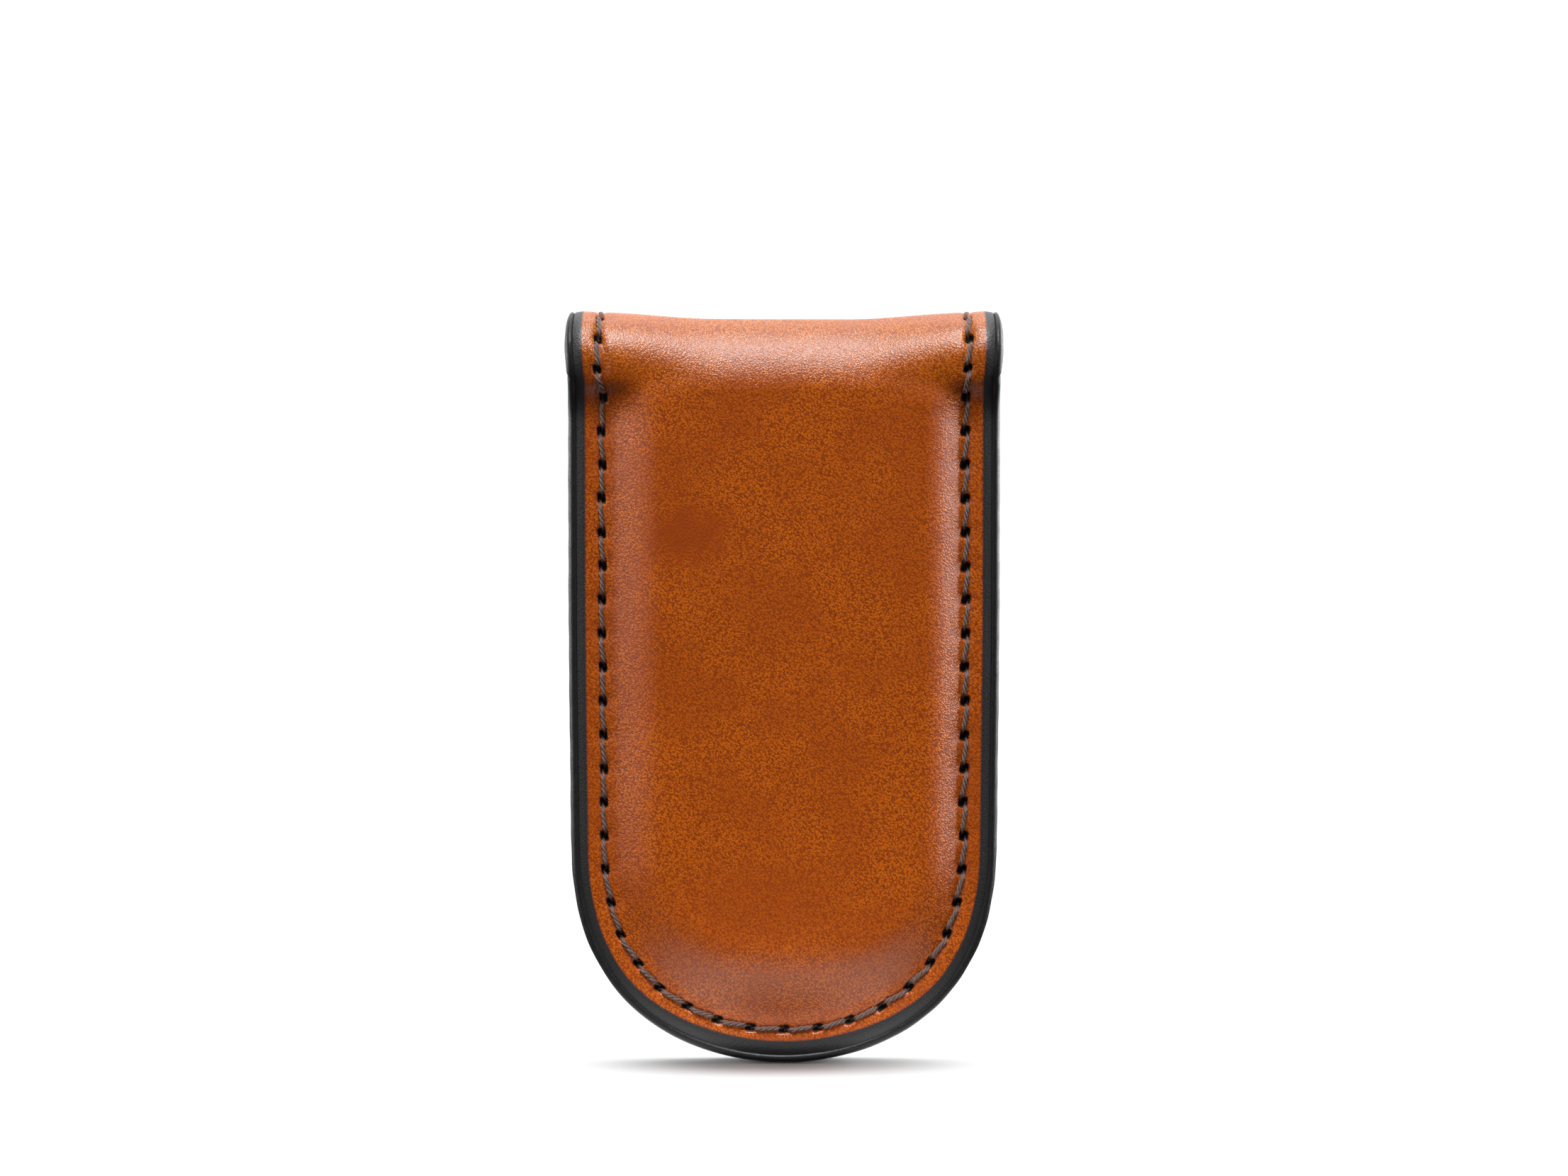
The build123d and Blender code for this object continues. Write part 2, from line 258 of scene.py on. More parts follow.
# ---- the seam
def outline_point(distance):
    """The seam's point that far round a leg from the left crest, its outward direction and the length."""
    side_length = CREST - CORNER_Z
    corner_length = CORNER_TURN * (CORNER_RADIUS - SEAM_INSET)
    end_turn = math.pi - 2 * CORNER_TURN
    end_length = end_turn * (END_RADIUS - SEAM_INSET)
    total = 2 * side_length + 2 * corner_length + end_length
    mirrored = distance > total / 2
    d = total - distance if mirrored else distance
    if d < side_length:
        x, along, out = -HALF_WIDTH, CREST - d, (-1.0, 0.0)
    elif d < side_length + corner_length:
        turn = math.pi + (d - side_length) / (CORNER_RADIUS - SEAM_INSET)
        out = (math.cos(turn), math.sin(turn))
        x, along = -CORNER_X + CORNER_RADIUS * out[0], CORNER_Z + CORNER_RADIUS * out[1]
    else:
        turn = math.pi + CORNER_TURN + (d - side_length - corner_length) / (END_RADIUS - SEAM_INSET)
        out = (math.cos(turn), math.sin(turn))
        x, along = END_RADIUS * out[0], END_RADIUS + END_RADIUS * out[1]
    x, along = x - SEAM_INSET * out[0], along - SEAM_INSET * out[1]
    if mirrored:
        x, out = -x, (-out[0], out[1])
    return np.array([x, along]), np.array(out), total


SEAM_OUT = 0.5
SEAM_OUT_PLACE = (66.0, 1.6)
SEAM_BACK = 0.22
SEAM_BACK_PLACE = (62.2, 1.2)


def seam_wiggle(x, along):
    """The hand-sewn seam wanders outwards and back just below the fold on the left."""
    wiggle = -SEAM_OUT * bump_at(*SEAM_OUT_PLACE, along) + SEAM_BACK * bump_at(*SEAM_BACK_PLACE, along)
    return np.where(x < 0, wiggle, 0.0)


def seam_places(jitter_seed):
    """Holes and stitches: for each, a flattened centre and a unit direction along the thread."""
    jitter = np.random.RandomState(jitter_seed)
    pitch = outline_point(0.0)[2] / STITCH_COUNT
    holes = []
    for k in range(STITCH_COUNT):
        distance = (k + 0.5) * pitch + jitter.uniform(-HOLE_JITTER_ALONG, HOLE_JITTER_ALONG)
        point, out, total = outline_point(distance)
        across = jitter.uniform(-HOLE_JITTER_ACROSS, HOLE_JITTER_ACROSS)
        point = point + out * (across - seam_wiggle(*point))
        travel = np.array([-out[1], out[0]])
        slant = SEAM_SLANT_RIGHT if distance > SLANT_CHANGE_SHARE * total else SEAM_SLANT_LEFT
        slant = slant + jitter.uniform(-HOLE_JITTER_TURN, HOLE_JITTER_TURN)
        holes.append((point, math.cos(slant) * travel - math.sin(slant) * out))
    return holes


def slits(x, along, holes):
    """1 in the middle of a slit and 0 away from it."""
    depth = np.zeros_like(x)
    for point, direction in holes:
        dx, ds = x - point[0], along - point[1]
        near = np.abs(dx) + np.abs(ds) < 3
        u = (dx * direction[0] + ds * direction[1])[near] / SLIT_LENGTH
        v = (ds * direction[0] - dx * direction[1])[near] / SLIT_WIDTH
        depth[near] = np.maximum(depth[near], np.exp(-((u**4 + v**4) ** 1.2)))
    return depth


def pull(x, along, holes):
    """The soft dent that each pulled stitch leaves round its hole."""
    depth = np.zeros_like(x)
    for point, _ in holes:
        near = (x - point[0]) ** 2 + (along - point[1]) ** 2
        depth = depth + np.exp(-near / PULL_REACH**2)
    return depth


# ---- surfaces
def outer_base(x, along):
    """The outer leather's face without its fine relief."""
    folded = np.minimum(along, 2 * CREST - along)
    weight = leg_bulge(x, folded)
    weight = weight + (fold_bulge(x) - weight) * smooth(*CROWN_TAKES_OVER_SPAN, folded)
    y_edge, z_edge = strip(along)
    y_mid, z_mid = crown(along)
    return np.stack(
        [
            tapered(x, folded) + fold_spread(x, folded),
            y_edge + (y_mid - y_edge) * weight,
            z_edge + (z_mid - z_edge) * weight,
        ],
        -1,
    )


TAPER = 0.0125
TAPER_SPAN = (12, 45)
WAIST = 0.007
WAIST_PLACE = (15.5, 3.0)
ROUND_END_SPAN = (5, 11)


def tapered(x, along):
    """The hand-cut legs narrow a little towards the rounded end."""
    narrowing = TAPER * (1 - smooth(*TAPER_SPAN, along)) + WAIST * bump_at(*WAIST_PLACE, along)
    return x * (1 - narrowing * smooth(*ROUND_END_SPAN, along))


SPREAD = 0.85 * (FOLD_COAT - EDGE_COAT)
SPREAD_ACROSS_SPAN = (12, 19)
SPREAD_STEP = 0.28
SPREAD_STEP_SPAN = (64.1, 64.6)
SPREAD_RISE_SPAN = (64.2, 67.4)
SPREAD_LOST_AT_CREST = 0.75
SPREAD_LOST_SPAN = (68.6, CREST + 1.5)


def fold_spread(x, along):
    """How far the fold squeezes the strip wider, least at the crest."""
    step = SPREAD_STEP * smooth(*SPREAD_STEP_SPAN, along)
    widened = step + (1 - SPREAD_STEP) * smooth(*SPREAD_RISE_SPAN, along)
    widened = widened * (1 - SPREAD_LOST_AT_CREST * smooth(*SPREAD_LOST_SPAN, along) ** 1.5)
    return np.sign(x) * SPREAD * smooth(*SPREAD_ACROSS_SPAN, np.abs(x)) * widened


def sagging(x, along, depth):
    """The strip at a depth, lowered in the middle of the fold as its outer face is."""
    folded = np.minimum(along, 2 * CREST - along)
    y, z = strip(along, depth)
    sag = CROWN_SAG * fold_bulge(x) * smooth(SAG_START, CREST, folded)
    return np.stack([tapered(x, folded) + fold_spread(x, folded), y, z - sag], -1)


def under_bulge(x, along):
    """The hidden side of the outer leather, which leaves room for the board and its padding."""
    flat = sagging(x, along, LEATHER - GLUE / 2)
    pocket = leg_bulge(x, along) * (1 - smooth(*POCKET_END_SPAN, along))
    flat[..., 1] = flat[..., 1] + (-(PLATEAU_FACE - LEATHER) - flat[..., 1]) * pocket
    return flat


def unit(vectors):
    return vectors / np.maximum(np.linalg.norm(vectors, axis=-1, keepdims=True), TINY)


NORMAL_STEP = 0.02


def normals_of(surface, x, along):
    """Unit normals by differences, pointing away from the strip's middle."""
    across = surface(x + NORMAL_STEP, along) - surface(x - NORMAL_STEP, along)
    up = surface(x, along + NORMAL_STEP) - surface(x, along - NORMAL_STEP)
    return unit(np.cross(across, up))


OUTER_EDGE_DIP = 0.24
CREST_EDGE_DIP = 0.14
CREST_DIP_START = 66
OUTER_EDGE_REACH = 0.8
LINING_EDGE_DIP = 0.2
LINING_EDGE_REACH = 0.7
GROOVE_DEPTH = 0.16
OUTER_GROOVE_REACH = 0.42
LINING_GROOVE_REACH = 0.5
PULL_DEPTH = 0.12
LINING_SLIT_DEPTH = 0.4


def outer_relief(x, along, holes):
    """Height of the outer face's fine relief, along its normal."""
    folded = np.minimum(along, 2 * CREST - along)
    d = inset(x, folded)
    rounding = np.clip(1 - (d - CREASE_INSET) / OUTER_EDGE_REACH, 0, 1)
    dip = OUTER_EDGE_DIP - (OUTER_EDGE_DIP - CREST_EDGE_DIP) * smooth(CREST_DIP_START, CREST, folded)
    groove = -GROOVE_DEPTH * bump_at(SEAM_INSET, OUTER_GROOVE_REACH, d + seam_wiggle(x, along))
    return (
        groove
        - dip * rounding**1.6
        - PULL_DEPTH * pull(x, along, holes)
        - SLIT_DEPTH * slits(x, along, holes)
        + undulation(x, along)
    )


def lining_relief(x, along, holes):
    """Height of the lining's fine relief, along its normal."""
    d = inset(x, np.minimum(along, 2 * CREST - along))
    edge = -LINING_EDGE_DIP * np.clip(1 - (d - CREASE_INSET) / LINING_EDGE_REACH, 0, 1) ** 1.5
    groove = -GROOVE_DEPTH * bump_at(SEAM_INSET, LINING_GROOVE_REACH, d + seam_wiggle(x, along))
    return edge + groove - LINING_SLIT_DEPTH * slits(x, along, holes)


def with_relief(base, relief, side=1.0):
    """A surface raised along its own normal by its relief. side is -1 for one that faces inwards."""

    def surface(x, along):
        return base(x, along) + side * normals_of(base, x, along) * relief(x, along)[..., None]

    return surface


# ---- meshes laid out on the flat strip
STATION_STEP = 0.2
COLUMNS = 44
FINE_RINGS = np.concatenate([np.linspace(2.45, 3.85, 12), [4.05, 4.35, 4.75, 5.3, 5.9, 6.5, 7.2]])
OUTER_RINGS = np.concatenate([[CREASE_INSET, 0.86, 0.98, 1.12, 1.3, 1.5, 1.75, 2.0, 2.25], FINE_RINGS])
HIDDEN_RINGS = np.array([CREASE_INSET, SEAM_INSET, 5.2, 7.2])


def stations():
    """Points round the outline of a leg, up to the crest on both sides, and their outward directions."""
    rows = round((CREST - CORNER_Z) / STATION_STEP)
    corner = round(CORNER_TURN * (CORNER_RADIUS - SEAM_INSET) / STATION_STEP)
    end = round((math.pi - 2 * CORNER_TURN) * (END_RADIUS - SEAM_INSET) / STATION_STEP / 2) * 2
    heights = np.linspace(CREST, CORNER_Z, rows + 1)
    points = [(-HALF_WIDTH, h) for h in heights]
    outs = [(-1.0, 0.0)] * (rows + 1)
    for i in range(1, corner + 1):
        turn = math.pi + CORNER_TURN * i / corner
        outs.append((math.cos(turn), math.sin(turn)))
        points.append((-CORNER_X + CORNER_RADIUS * outs[-1][0], CORNER_Z + CORNER_RADIUS * outs[-1][1]))
    for i in range(1, end // 2 + 1):
        turn = math.pi + CORNER_TURN + (math.pi - 2 * CORNER_TURN) * i / end
        outs.append((math.cos(turn), math.sin(turn)))
        points.append((END_RADIUS * outs[-1][0], END_RADIUS + END_RADIUS * outs[-1][1]))
    points, outs = np.array(points), np.array(outs)
    flip = np.array([-1.0, 1.0])
    points = np.concatenate([points, points[-2::-1] * flip])
    outs = np.concatenate([outs, outs[-2::-1] * flip])
    return points, outs, rows


def flat_layout(rings):
    """Flattened points and quads that cover a leg and its half of the fold.

    Rings follow the outline; inside the last ring straight rows fill the leg, and a patch blended
    from its four sides fills the rounded end.
    """
    outline, outs, rows = stations()
    count = len(outline)
    points = [outline - d * outs for d in rings]
    quads = []
    for j in range(len(rings) - 1):
        a = j * count + np.arange(count - 1)
        quads.append(np.stack([a, a + 1, a + 1 + count, a + count], -1))
    last = (len(rings) - 1) * count
    ring = points[-1]

    # straight rows, from the crest down to where the corners begin
    share = np.linspace(0, 1, COLUMNS + 1)
    grid = np.zeros((rows + 1, COLUMNS + 1), int)
    start = len(rings) * count
    grid[:, 0] = last + np.arange(rows + 1)
    grid[:, -1] = last + count - 1 - np.arange(rows + 1)
    grid[:, 1:-1] = start + np.arange((rows + 1) * (COLUMNS - 1)).reshape(rows + 1, -1)
    left, right = ring[: rows + 1], ring[::-1][: rows + 1]
    inner = left[:, None] + (right - left)[:, None] * share[None, 1:-1, None]
    points.append(inner.reshape(-1, 2))
    quads.append(grid_quads(grid))
    start += inner.shape[0] * inner.shape[1]

    # the rounded end
    arcs = count - 2 * rows - 1
    deep = (arcs - COLUMNS) // 2
    low = rows + deep
    sides = np.arange(deep + 1)
    west, east = ring[rows + sides], ring[::-1][rows + sides]
    south = ring[low : low + COLUMNS + 1]
    north = left[-1] + (right[-1] - left[-1]) * share[:, None]
    v = (sides / deep)[1:-1, None, None]
    u = share[None, 1:-1, None]
    patch = (
        (1 - v) * north[None, 1:-1]
        + v * south[None, 1:-1]
        + (1 - u) * west[1:-1, None]
        + u * east[1:-1, None]
        - (1 - u) * (1 - v) * north[0]
        - u * (1 - v) * north[-1]
        - (1 - u) * v * south[0]
        - u * v * south[-1]
    )
    points.append(patch.reshape(-1, 2))
    end = np.zeros((deep + 1, COLUMNS + 1), int)
    end[0] = grid[-1]
    end[:, 0] = last + rows + sides
    end[:, -1] = last + count - 1 - rows - sides
    end[-1] = last + low + np.arange(COLUMNS + 1)
    end[1:-1, 1:-1] = start + np.arange((deep - 1) * (COLUMNS - 1)).reshape(deep - 1, -1)
    quads.append(grid_quads(end))

    top = np.concatenate(
        [np.arange(len(rings)) * count, grid[0, 1:-1], (np.arange(len(rings))[::-1] + 1) * count - 1]
    )
    return np.concatenate(points), np.concatenate(quads), np.arange(count), top


def grid_quads(grid):
    return np.stack(
        [grid[:-1, :-1].ravel(), grid[1:, :-1].ravel(), grid[1:, 1:].ravel(), grid[:-1, 1:].ravel()], -1
    )


def make_mesh(name, points, polygons, flat, shares=None, corner_normals=None):
    """A mesh from millimetre points. Its materials read flat, where each point is on the flat strip.

    shares are its other attributes, one number for each point. corner_normals gives a normal for
    each corner of each polygon.
    """
    mesh = bpy.data.meshes.new(name)
    mesh.from_pydata((points * MM).tolist(), [], polygons)
    layer = mesh.attributes.new("flat", "FLOAT_VECTOR", "POINT")
    layer.data.foreach_set("vector", np.asarray(flat, np.float32).ravel())
    for key, values in (shares or {}).items():
        layer = mesh.attributes.new(key, "FLOAT", "POINT")
        layer.data.foreach_set("value", np.asarray(values, np.float32))
    mesh.polygons.foreach_set("use_smooth", [len(p) <= 4 for p in polygons])
    mesh.update()
    if corner_normals is not None:
        mesh.normals_split_custom_set(corner_normals.tolist())
    piece = bpy.data.objects.new(name, mesh)
    bpy.context.scene.collection.objects.link(piece)
    return piece


def shell(name, faces, back, attributes, mirrored):
    """A closed leather: a detailed face and a plain hidden side, joined round the edge and at the crest.

    faces and back are (surface, normal sign, rings). The normal sign is 1 where the surface's own
    normal points out of the leather. attributes are functions of a flattened point.
    """
    parts = []
    for surface, sign, rings in (faces, back):
        flat, quads, outline, top = flat_layout(rings)
        x, along = flat[:, 0], flat[:, 1]
        points = surface(x, along)
        normals = normals_of(surface, x, along) * sign
        parts.append((flat, quads if sign > 0 else quads[:, ::-1], outline, top, points, normals))
    shift = len(parts[0][0])
    points = np.concatenate([parts[0][4], parts[1][4]])
    normals = np.concatenate([parts[0][5], parts[1][5]])
    flat = np.concatenate([parts[0][0], parts[1][0]])
    quads = np.concatenate([parts[0][1], parts[1][1] + shift])

    a, b = parts[0][2], parts[1][2] + shift
    wall = np.stack([a[:-1], a[1:], b[1:], b[:-1]], -1)
    cap = np.concatenate([parts[0][3], parts[1][3][::-1] + shift])
    if faces[1] > 0:
        wall = wall[:, ::-1]
    else:
        cap = cap[::-1]
    if mirrored:
        points, normals = points * (1, -1, 1), normals * (1, -1, 1)
        quads, wall, cap = quads[:, ::-1], wall[:, ::-1], cap[::-1]

    first = points[wall[:, 0]]
    across = unit(np.cross(points[wall[:, 1]] - first, points[wall[:, 3]] - first))
    cap_normal = np.array([[0.0, 1.0, 0.0]]) * (-1 if mirrored else 1)
    corner_normals = np.concatenate(
        [normals[quads.ravel()], np.repeat(across, 4, 0), np.repeat(cap_normal, len(cap), 0)]
    )
    polygons = quads.tolist() + wall.tolist() + [cap.tolist()]
    rest = np.column_stack([flat, np.full(len(flat), BACK_TEXTURE_SHIFT if mirrored else 0.0)])
    shares = {key: share(flat[:, 0], flat[:, 1]) for key, share in attributes.items()}
    return make_mesh(name, points, polygons, rest, shares, corner_normals)


def tube_quads(rings, sides):
    """Quads and end caps of a tube whose points run ring by ring."""
    polygons = []
    for i in range(rings - 1):
        for j in range(sides):
            k = (j + 1) % sides
            polygons.append([i * sides + j, i * sides + k, (i + 1) * sides + k, (i + 1) * sides + j])
    polygons.append(list(range(sides))[::-1])
    polygons.append([(rings - 1) * sides + j for j in range(sides)])
    return polygons


# ---- stitches
PLY_RADIUS = 0.125
PLY_OFFSET = 0.12
PLIES = 3
PLY_SIDES = 7
PLY_STEPS = 22
PLY_THINNING = 0.35
TWIST_TURNS = 1.8
TWIST_AHEAD = 0.7
DIVE = 0.9
DIVE_SPAN = (0.5, 0.82)
CREST_STITCH_SINK = 0.26
CREST_STITCH_REACH = 1.2


def stitches(name, surface, side, holes, mirrored, lift):
    """Twisted thread from hole to hole, laid on a surface and diving into a slit at each end.

    The front leg's thread also has the two stitches over the crest.
    """
    pairs = list(zip(holes[:-1], holes[1:]))
    if not mirrored:
        pairs = [(crest_twin(holes[0]), holes[0])] + pairs + [(holes[-1], crest_twin(holes[-1]))]
    points, polygons, plies = [], [], []
    for number, ((start, _), (stop, _)) in enumerate(pairs):
        share = np.linspace(0, 1, PLY_STEPS)
        path = start + (stop - start) * share[:, None]
        length = np.linalg.norm(stop - start)
        heading = (stop - start) / length
        tilt = SEAM_SLANT_LEFT if path[:, 0].mean() < SLANT_CHANGE_X else SEAM_SLANT_RIGHT
        sideways = np.array([-heading[1], heading[0]])
        path = path + sideways * (math.tan(tilt) * length * (share - 0.5))[:, None]
        centre = surface(path[:, 0], path[:, 1])
        normal = normals_of(surface, path[:, 0], path[:, 1]) * side
        end_on = np.abs(2 * share - 1)
        over_crest = CREST_STITCH_SINK * bump_at(CREST, CREST_STITCH_REACH, path[:, 1].mean())
        centre = centre + normal * (lift - DIVE * smooth(*DIVE_SPAN, end_on) - over_crest)[:, None]
        tangent = unit(np.gradient(centre, axis=0))
        across = unit(np.cross(tangent, normal))
        up = np.cross(across, tangent)
        thin = 1 - PLY_THINNING * end_on**6
        for ply in range(PLIES):
            spin = 2 * math.pi * (TWIST_TURNS * share + ply / PLIES) + TWIST_AHEAD * number
            middle = centre + PLY_OFFSET * thin[:, None] * (
                np.cos(spin)[:, None] * across + np.sin(spin)[:, None] * up
            )
            first = len(points) * PLY_SIDES
            for i in range(PLY_STEPS):
                turn = np.linspace(0, 2 * math.pi, PLY_SIDES, endpoint=False)
                ring = middle[i] + PLY_RADIUS * thin[i] * (
                    np.cos(turn)[:, None] * across[i] + np.sin(turn)[:, None] * up[i]
                )
                points.append(ring)
                plies += [(share[i] * length, turn_share, number + ply / PLIES) for turn_share in turn]
            polygons += [[first + v for v in p] for p in tube_quads(PLY_STEPS, PLY_SIDES)]
    points = np.concatenate(points)
    if mirrored:
        points = points * (1, -1, 1)
        polygons = [p[::-1] for p in polygons]
    return make_mesh(name, points, polygons, plies)


def crest_twin(hole):
    """The same hole's mirror image on the other side of the crest."""
    point, direction = hole
    return np.array([point[0], 2 * CREST - point[1]]), direction


# ---- edge coat
BEAD_SIDES = 22
BEAD_POWER = 2.25
BEAD_MIDDLE = 0.3
BEAD_UNDERCUT = 0.75
BEAD_SINK = 0.1
BEAD_CREST_SINK = 0.14
BEAD_STEP = 2
BEAD_NICK = 0.05
BEAD_NICK_PLACE = (64.2, 0.3)
BEAD_CREST_THINNING = 0.14
BEAD_THINNING_START = 68.5
BACK_TEXTURE_SHIFT = 9.0


def bead(name, mirrored):
    """The painted edge: a rounded bead from crest to crest round one leg, tucked under the leathers."""
    outline, outs, _ = stations()
    outline, outs = outline[::BEAD_STEP], outs[::BEAD_STEP]
    low = outline[:, 1]
    wave = 0.012 * np.sin(1.9 * low + 0.7 * outline[:, 0]) + 0.01 * np.sin(0.61 * low)
    nick = BEAD_NICK * bump_at(*BEAD_NICK_PLACE, low)
    bulge = CREASE_INSET - nick - BEAD_CREST_THINNING * smooth(BEAD_THINNING_START, CREST, low) + wave
    sink = BEAD_SINK + (BEAD_CREST_SINK - BEAD_SINK) * smooth(CREST_DIP_START, CREST, low)
    turn = np.linspace(-BEAD_UNDERCUT, math.pi + BEAD_UNDERCUT, BEAD_SIDES)
    out = np.sign(np.sin(turn)) * np.abs(np.sin(turn)) ** (2 / BEAD_POWER)
    down = np.sign(np.cos(turn)) * np.abs(np.cos(turn)) ** (2 / BEAD_POWER)
    rings, rest = [], []
    for i, (point, direction) in enumerate(zip(outline, outs)):
        base = point - CREASE_INSET * direction
        x, along = np.full(BEAD_SIDES, base[0]), np.full(BEAD_SIDES, base[1])
        ring = sagging(x, along, LEATHER - (LEATHER - sink[i]) * down)
        reach = BEAD_MIDDLE + (bulge[i] - BEAD_MIDDLE) * out
        ring[:, 0] += reach * direction[0]
        ring[:, 2] += reach * direction[1]
        rings.append(ring)
        travelled = i * STATION_STEP * BEAD_STEP
        rest += [(travelled, t, BACK_TEXTURE_SHIFT if mirrored else 0.0) for t in turn]
    points = np.concatenate(rings)
    polygons = tube_quads(len(rings), BEAD_SIDES)
    if mirrored:
        points = points * (1, -1, 1)
    else:
        polygons = [p[::-1] for p in polygons]
    return make_mesh(name, points, polygons, rest)


# ---- the padding and the tape
def rounded_outline(low, high, low_radius, high_radius, count):
    """Points round a box from low to high, with one radius for its lower corners and one for its upper."""
    corners = (
        (high[0], low[1], -1, 1, low_radius, -math.pi / 2),
        (high[0], high[1], -1, -1, high_radius, 0.0),
        (low[0], high[1], 1, -1, high_radius, math.pi / 2),
        (low[0], low[1], 1, 1, low_radius, math.pi),
    )
    points = []
    for x, z, inward_x, inward_z, radius, start in corners:
        for turn in np.linspace(start, start + math.pi / 2, count // 4):
            points.append(
                (
                    x + inward_x * radius + radius * math.cos(turn),
                    z + inward_z * radius + radius * math.sin(turn),
                )
            )
    return np.array(points)


PAD_CLEARANCE = 0.15
PAD_LOWER_RADIUS = 7.0
PAD_UPPER_RADIUS = 1.0
PAD_SIDES = 96
PAD_SHARES = (0.12, 0.3, 0.5, 0.68, 0.82, 0.91, 0.96, 0.99, 1.0)
PAD_GAP = 0.03
PAD_RIM = 0.25
TUFT = 0.03


def felt_pad(name, mirrored):
    """A crowned felt pad, closed, with its flat side on the board."""
    low, high = padding_low[[0, 2]] + PAD_CLEARANCE, padding_high[[0, 2]] - PAD_CLEARANCE
    outline = rounded_outline(low, high, PAD_LOWER_RADIUS, PAD_UPPER_RADIUS, PAD_SIDES)
    middle = (low + high) / 2
    sides = len(outline)
    board_side = -(BOARD_FACE + BOARD_THICKNESS + PAD_GAP)
    thickness = -padding_low[1] - 2 * PAD_GAP + board_side
    layers = []
    for crowned in (1, 0):
        for share in PAD_SHARES if crowned else PAD_SHARES[::-1]:
            flat = middle + (outline - middle) * share
            tuft = TUFT * np.sin(1.3 * flat[:, 0]) * np.sin(1.1 * flat[:, 1] + 0.4)
            rise = thickness * (1 - share**6) ** 0.5 + tuft * (1 - share)
            y = board_side - (PAD_RIM * thickness + (1 - PAD_RIM) * rise if crowned else 0 * rise)
            layers.append(np.stack([flat[:, 0], y, flat[:, 1]], -1))
    points = np.concatenate(layers)
    polygons = tube_quads(len(layers), sides)
    rest = points[:, [0, 2, 1]]
    if mirrored:
        points = points * (1, -1, 1)
    else:
        polygons = [p[::-1] for p in polygons]
    return make_mesh(name, points, polygons, rest)


TAPE_REACH = 3.0
TAPE_MARGIN = 2.2
TAPE_HALF_THICKNESS = 0.05
TAPE_COLUMNS = 61
TAPE_ROWS = 25


def crest_tape(name):
    """The strip of woven tape glued between the two leathers over the crest."""
    across = np.linspace(TAPE_MARGIN - HALF_WIDTH, HALF_WIDTH - TAPE_MARGIN, TAPE_COLUMNS)
    along = np.linspace(CREST - TAPE_REACH, CREST + TAPE_REACH, TAPE_ROWS)
    x, s = np.meshgrid(across, along)
    folded = np.minimum(s, 2 * CREST - s)
    layers = []
    for depth in (LEATHER - TAPE_HALF_THICKNESS, LEATHER + TAPE_HALF_THICKNESS):
        layer = sagging(x, folded, depth)
        layer[..., 1] *= np.where(s > CREST, -1, 1)
        layers.append(layer.reshape(-1, 3))
    count = len(layers[0])
    grid = np.arange(count).reshape(x.shape)
    top = grid_quads(grid)
    rim = np.concatenate([grid[0], grid[1:, -1], grid[-1, -2::-1], grid[-2:0:-1, 0]])
    after = np.roll(rim, -1)
    wall = np.stack([rim, rim + count, after + count, after], -1)
    polygons = top[:, ::-1].tolist() + (top + count).tolist() + wall.tolist()
    rest = np.concatenate([np.stack([x, s, x * 0], -1).reshape(-1, 3)] * 2)
    return make_mesh(name, np.concatenate(layers), polygons, rest)


# ---- materials
class Graph:
    """Short calls for building a tree of shader nodes."""

    def __init__(self, tree):
        self.tree = tree

    def put(self, value, socket):
        """Links a value to a socket, or sets it there where it is constant."""
        if isinstance(value, bpy.types.NodeSocket):
            self.tree.links.new(value, socket)
        elif socket.type == "RGBA" and len(value) == 3:
            socket.default_value = (*value, 1.0)
        else:
            socket.default_value = value

    def new(self, kind, inputs, **settings):
        """A new node's outputs. inputs gives what goes to its sockets, by name or number."""
        node = self.tree.nodes.new(f"ShaderNode{kind}")
        for key, value in settings.items():
            setattr(node, key, value)
        for key, value in inputs.items():
            self.put(value, node.inputs[key])
        return node.outputs

    def attribute(self, name, output="Vector"):
        return self.new("Attribute", {}, attribute_name=name)[output]

    def noise(self, vector, scale, detail=2.0, roughness=0.5, output="Fac"):
        inputs = {"Vector": vector, "Scale": scale, "Detail": detail, "Roughness": roughness}
        return self.new("TexNoise", inputs)[output]

    def cells(self, vector, scale, feature="F1"):
        return self.new("TexVoronoi", {"Vector": vector, "Scale": scale}, feature=feature)["Distance"]

    def rotated(self, vector, degrees):
        inputs = {"Vector": vector, "Angle": math.radians(degrees)}
        return self.new("VectorRotate", inputs, rotation_type="Z_AXIS")[0]

    def wave(self, vector, scale, distortion):
        inputs = {"Vector": vector, "Scale": scale, "Distortion": distortion}
        return self.new("TexWave", inputs)["Fac"]

    def math(self, operation, a, b=0.0):
        return self.new("Math", {0: a, 1: b}, operation=operation)[0]

    def total(self, *shares):
        """The sum of several values, each times its share."""
        parts = [self.math("MULTIPLY", value, share) for value, share in shares]
        made = parts[0]
        for part in parts[1:]:
            made = self.math("ADD", made, part)
        return made

    def length(self, vector):
        return self.new("VectorMath", {0: vector}, operation="LENGTH")["Value"]

    def vector(self, operation, a, b):
        second = "Scale" if operation == "SCALE" else 1
        return self.new("VectorMath", {0: a, second: b}, operation=operation)[0]

    def ramp(self, value, low, high, to_low=0.0, to_high=1.0):
        inputs = {"Value": value, "From Min": low, "From Max": high, "To Min": to_low, "To Max": to_high}
        return self.new("MapRange", inputs, interpolation_type="SMOOTHSTEP")["Result"]

    def mix(self, factor, a, b, blend="MIX"):
        return self.new("Mix", {0: factor, 6: a, 7: b}, data_type="RGBA", blend_type=blend)[2]

    def seen_and_unseen(self, seen, unseen, output):
        """Puts one shader where the camera looks, and another in mirrorings and as light."""
        camera_ray = self.new("LightPath", {})["Is Camera Ray"]
        made = self.new("MixShader", {0: camera_ray, 1: unseen, 2: seen})[0]
        self.put(made, self.tree.nodes[output].inputs["Surface"])


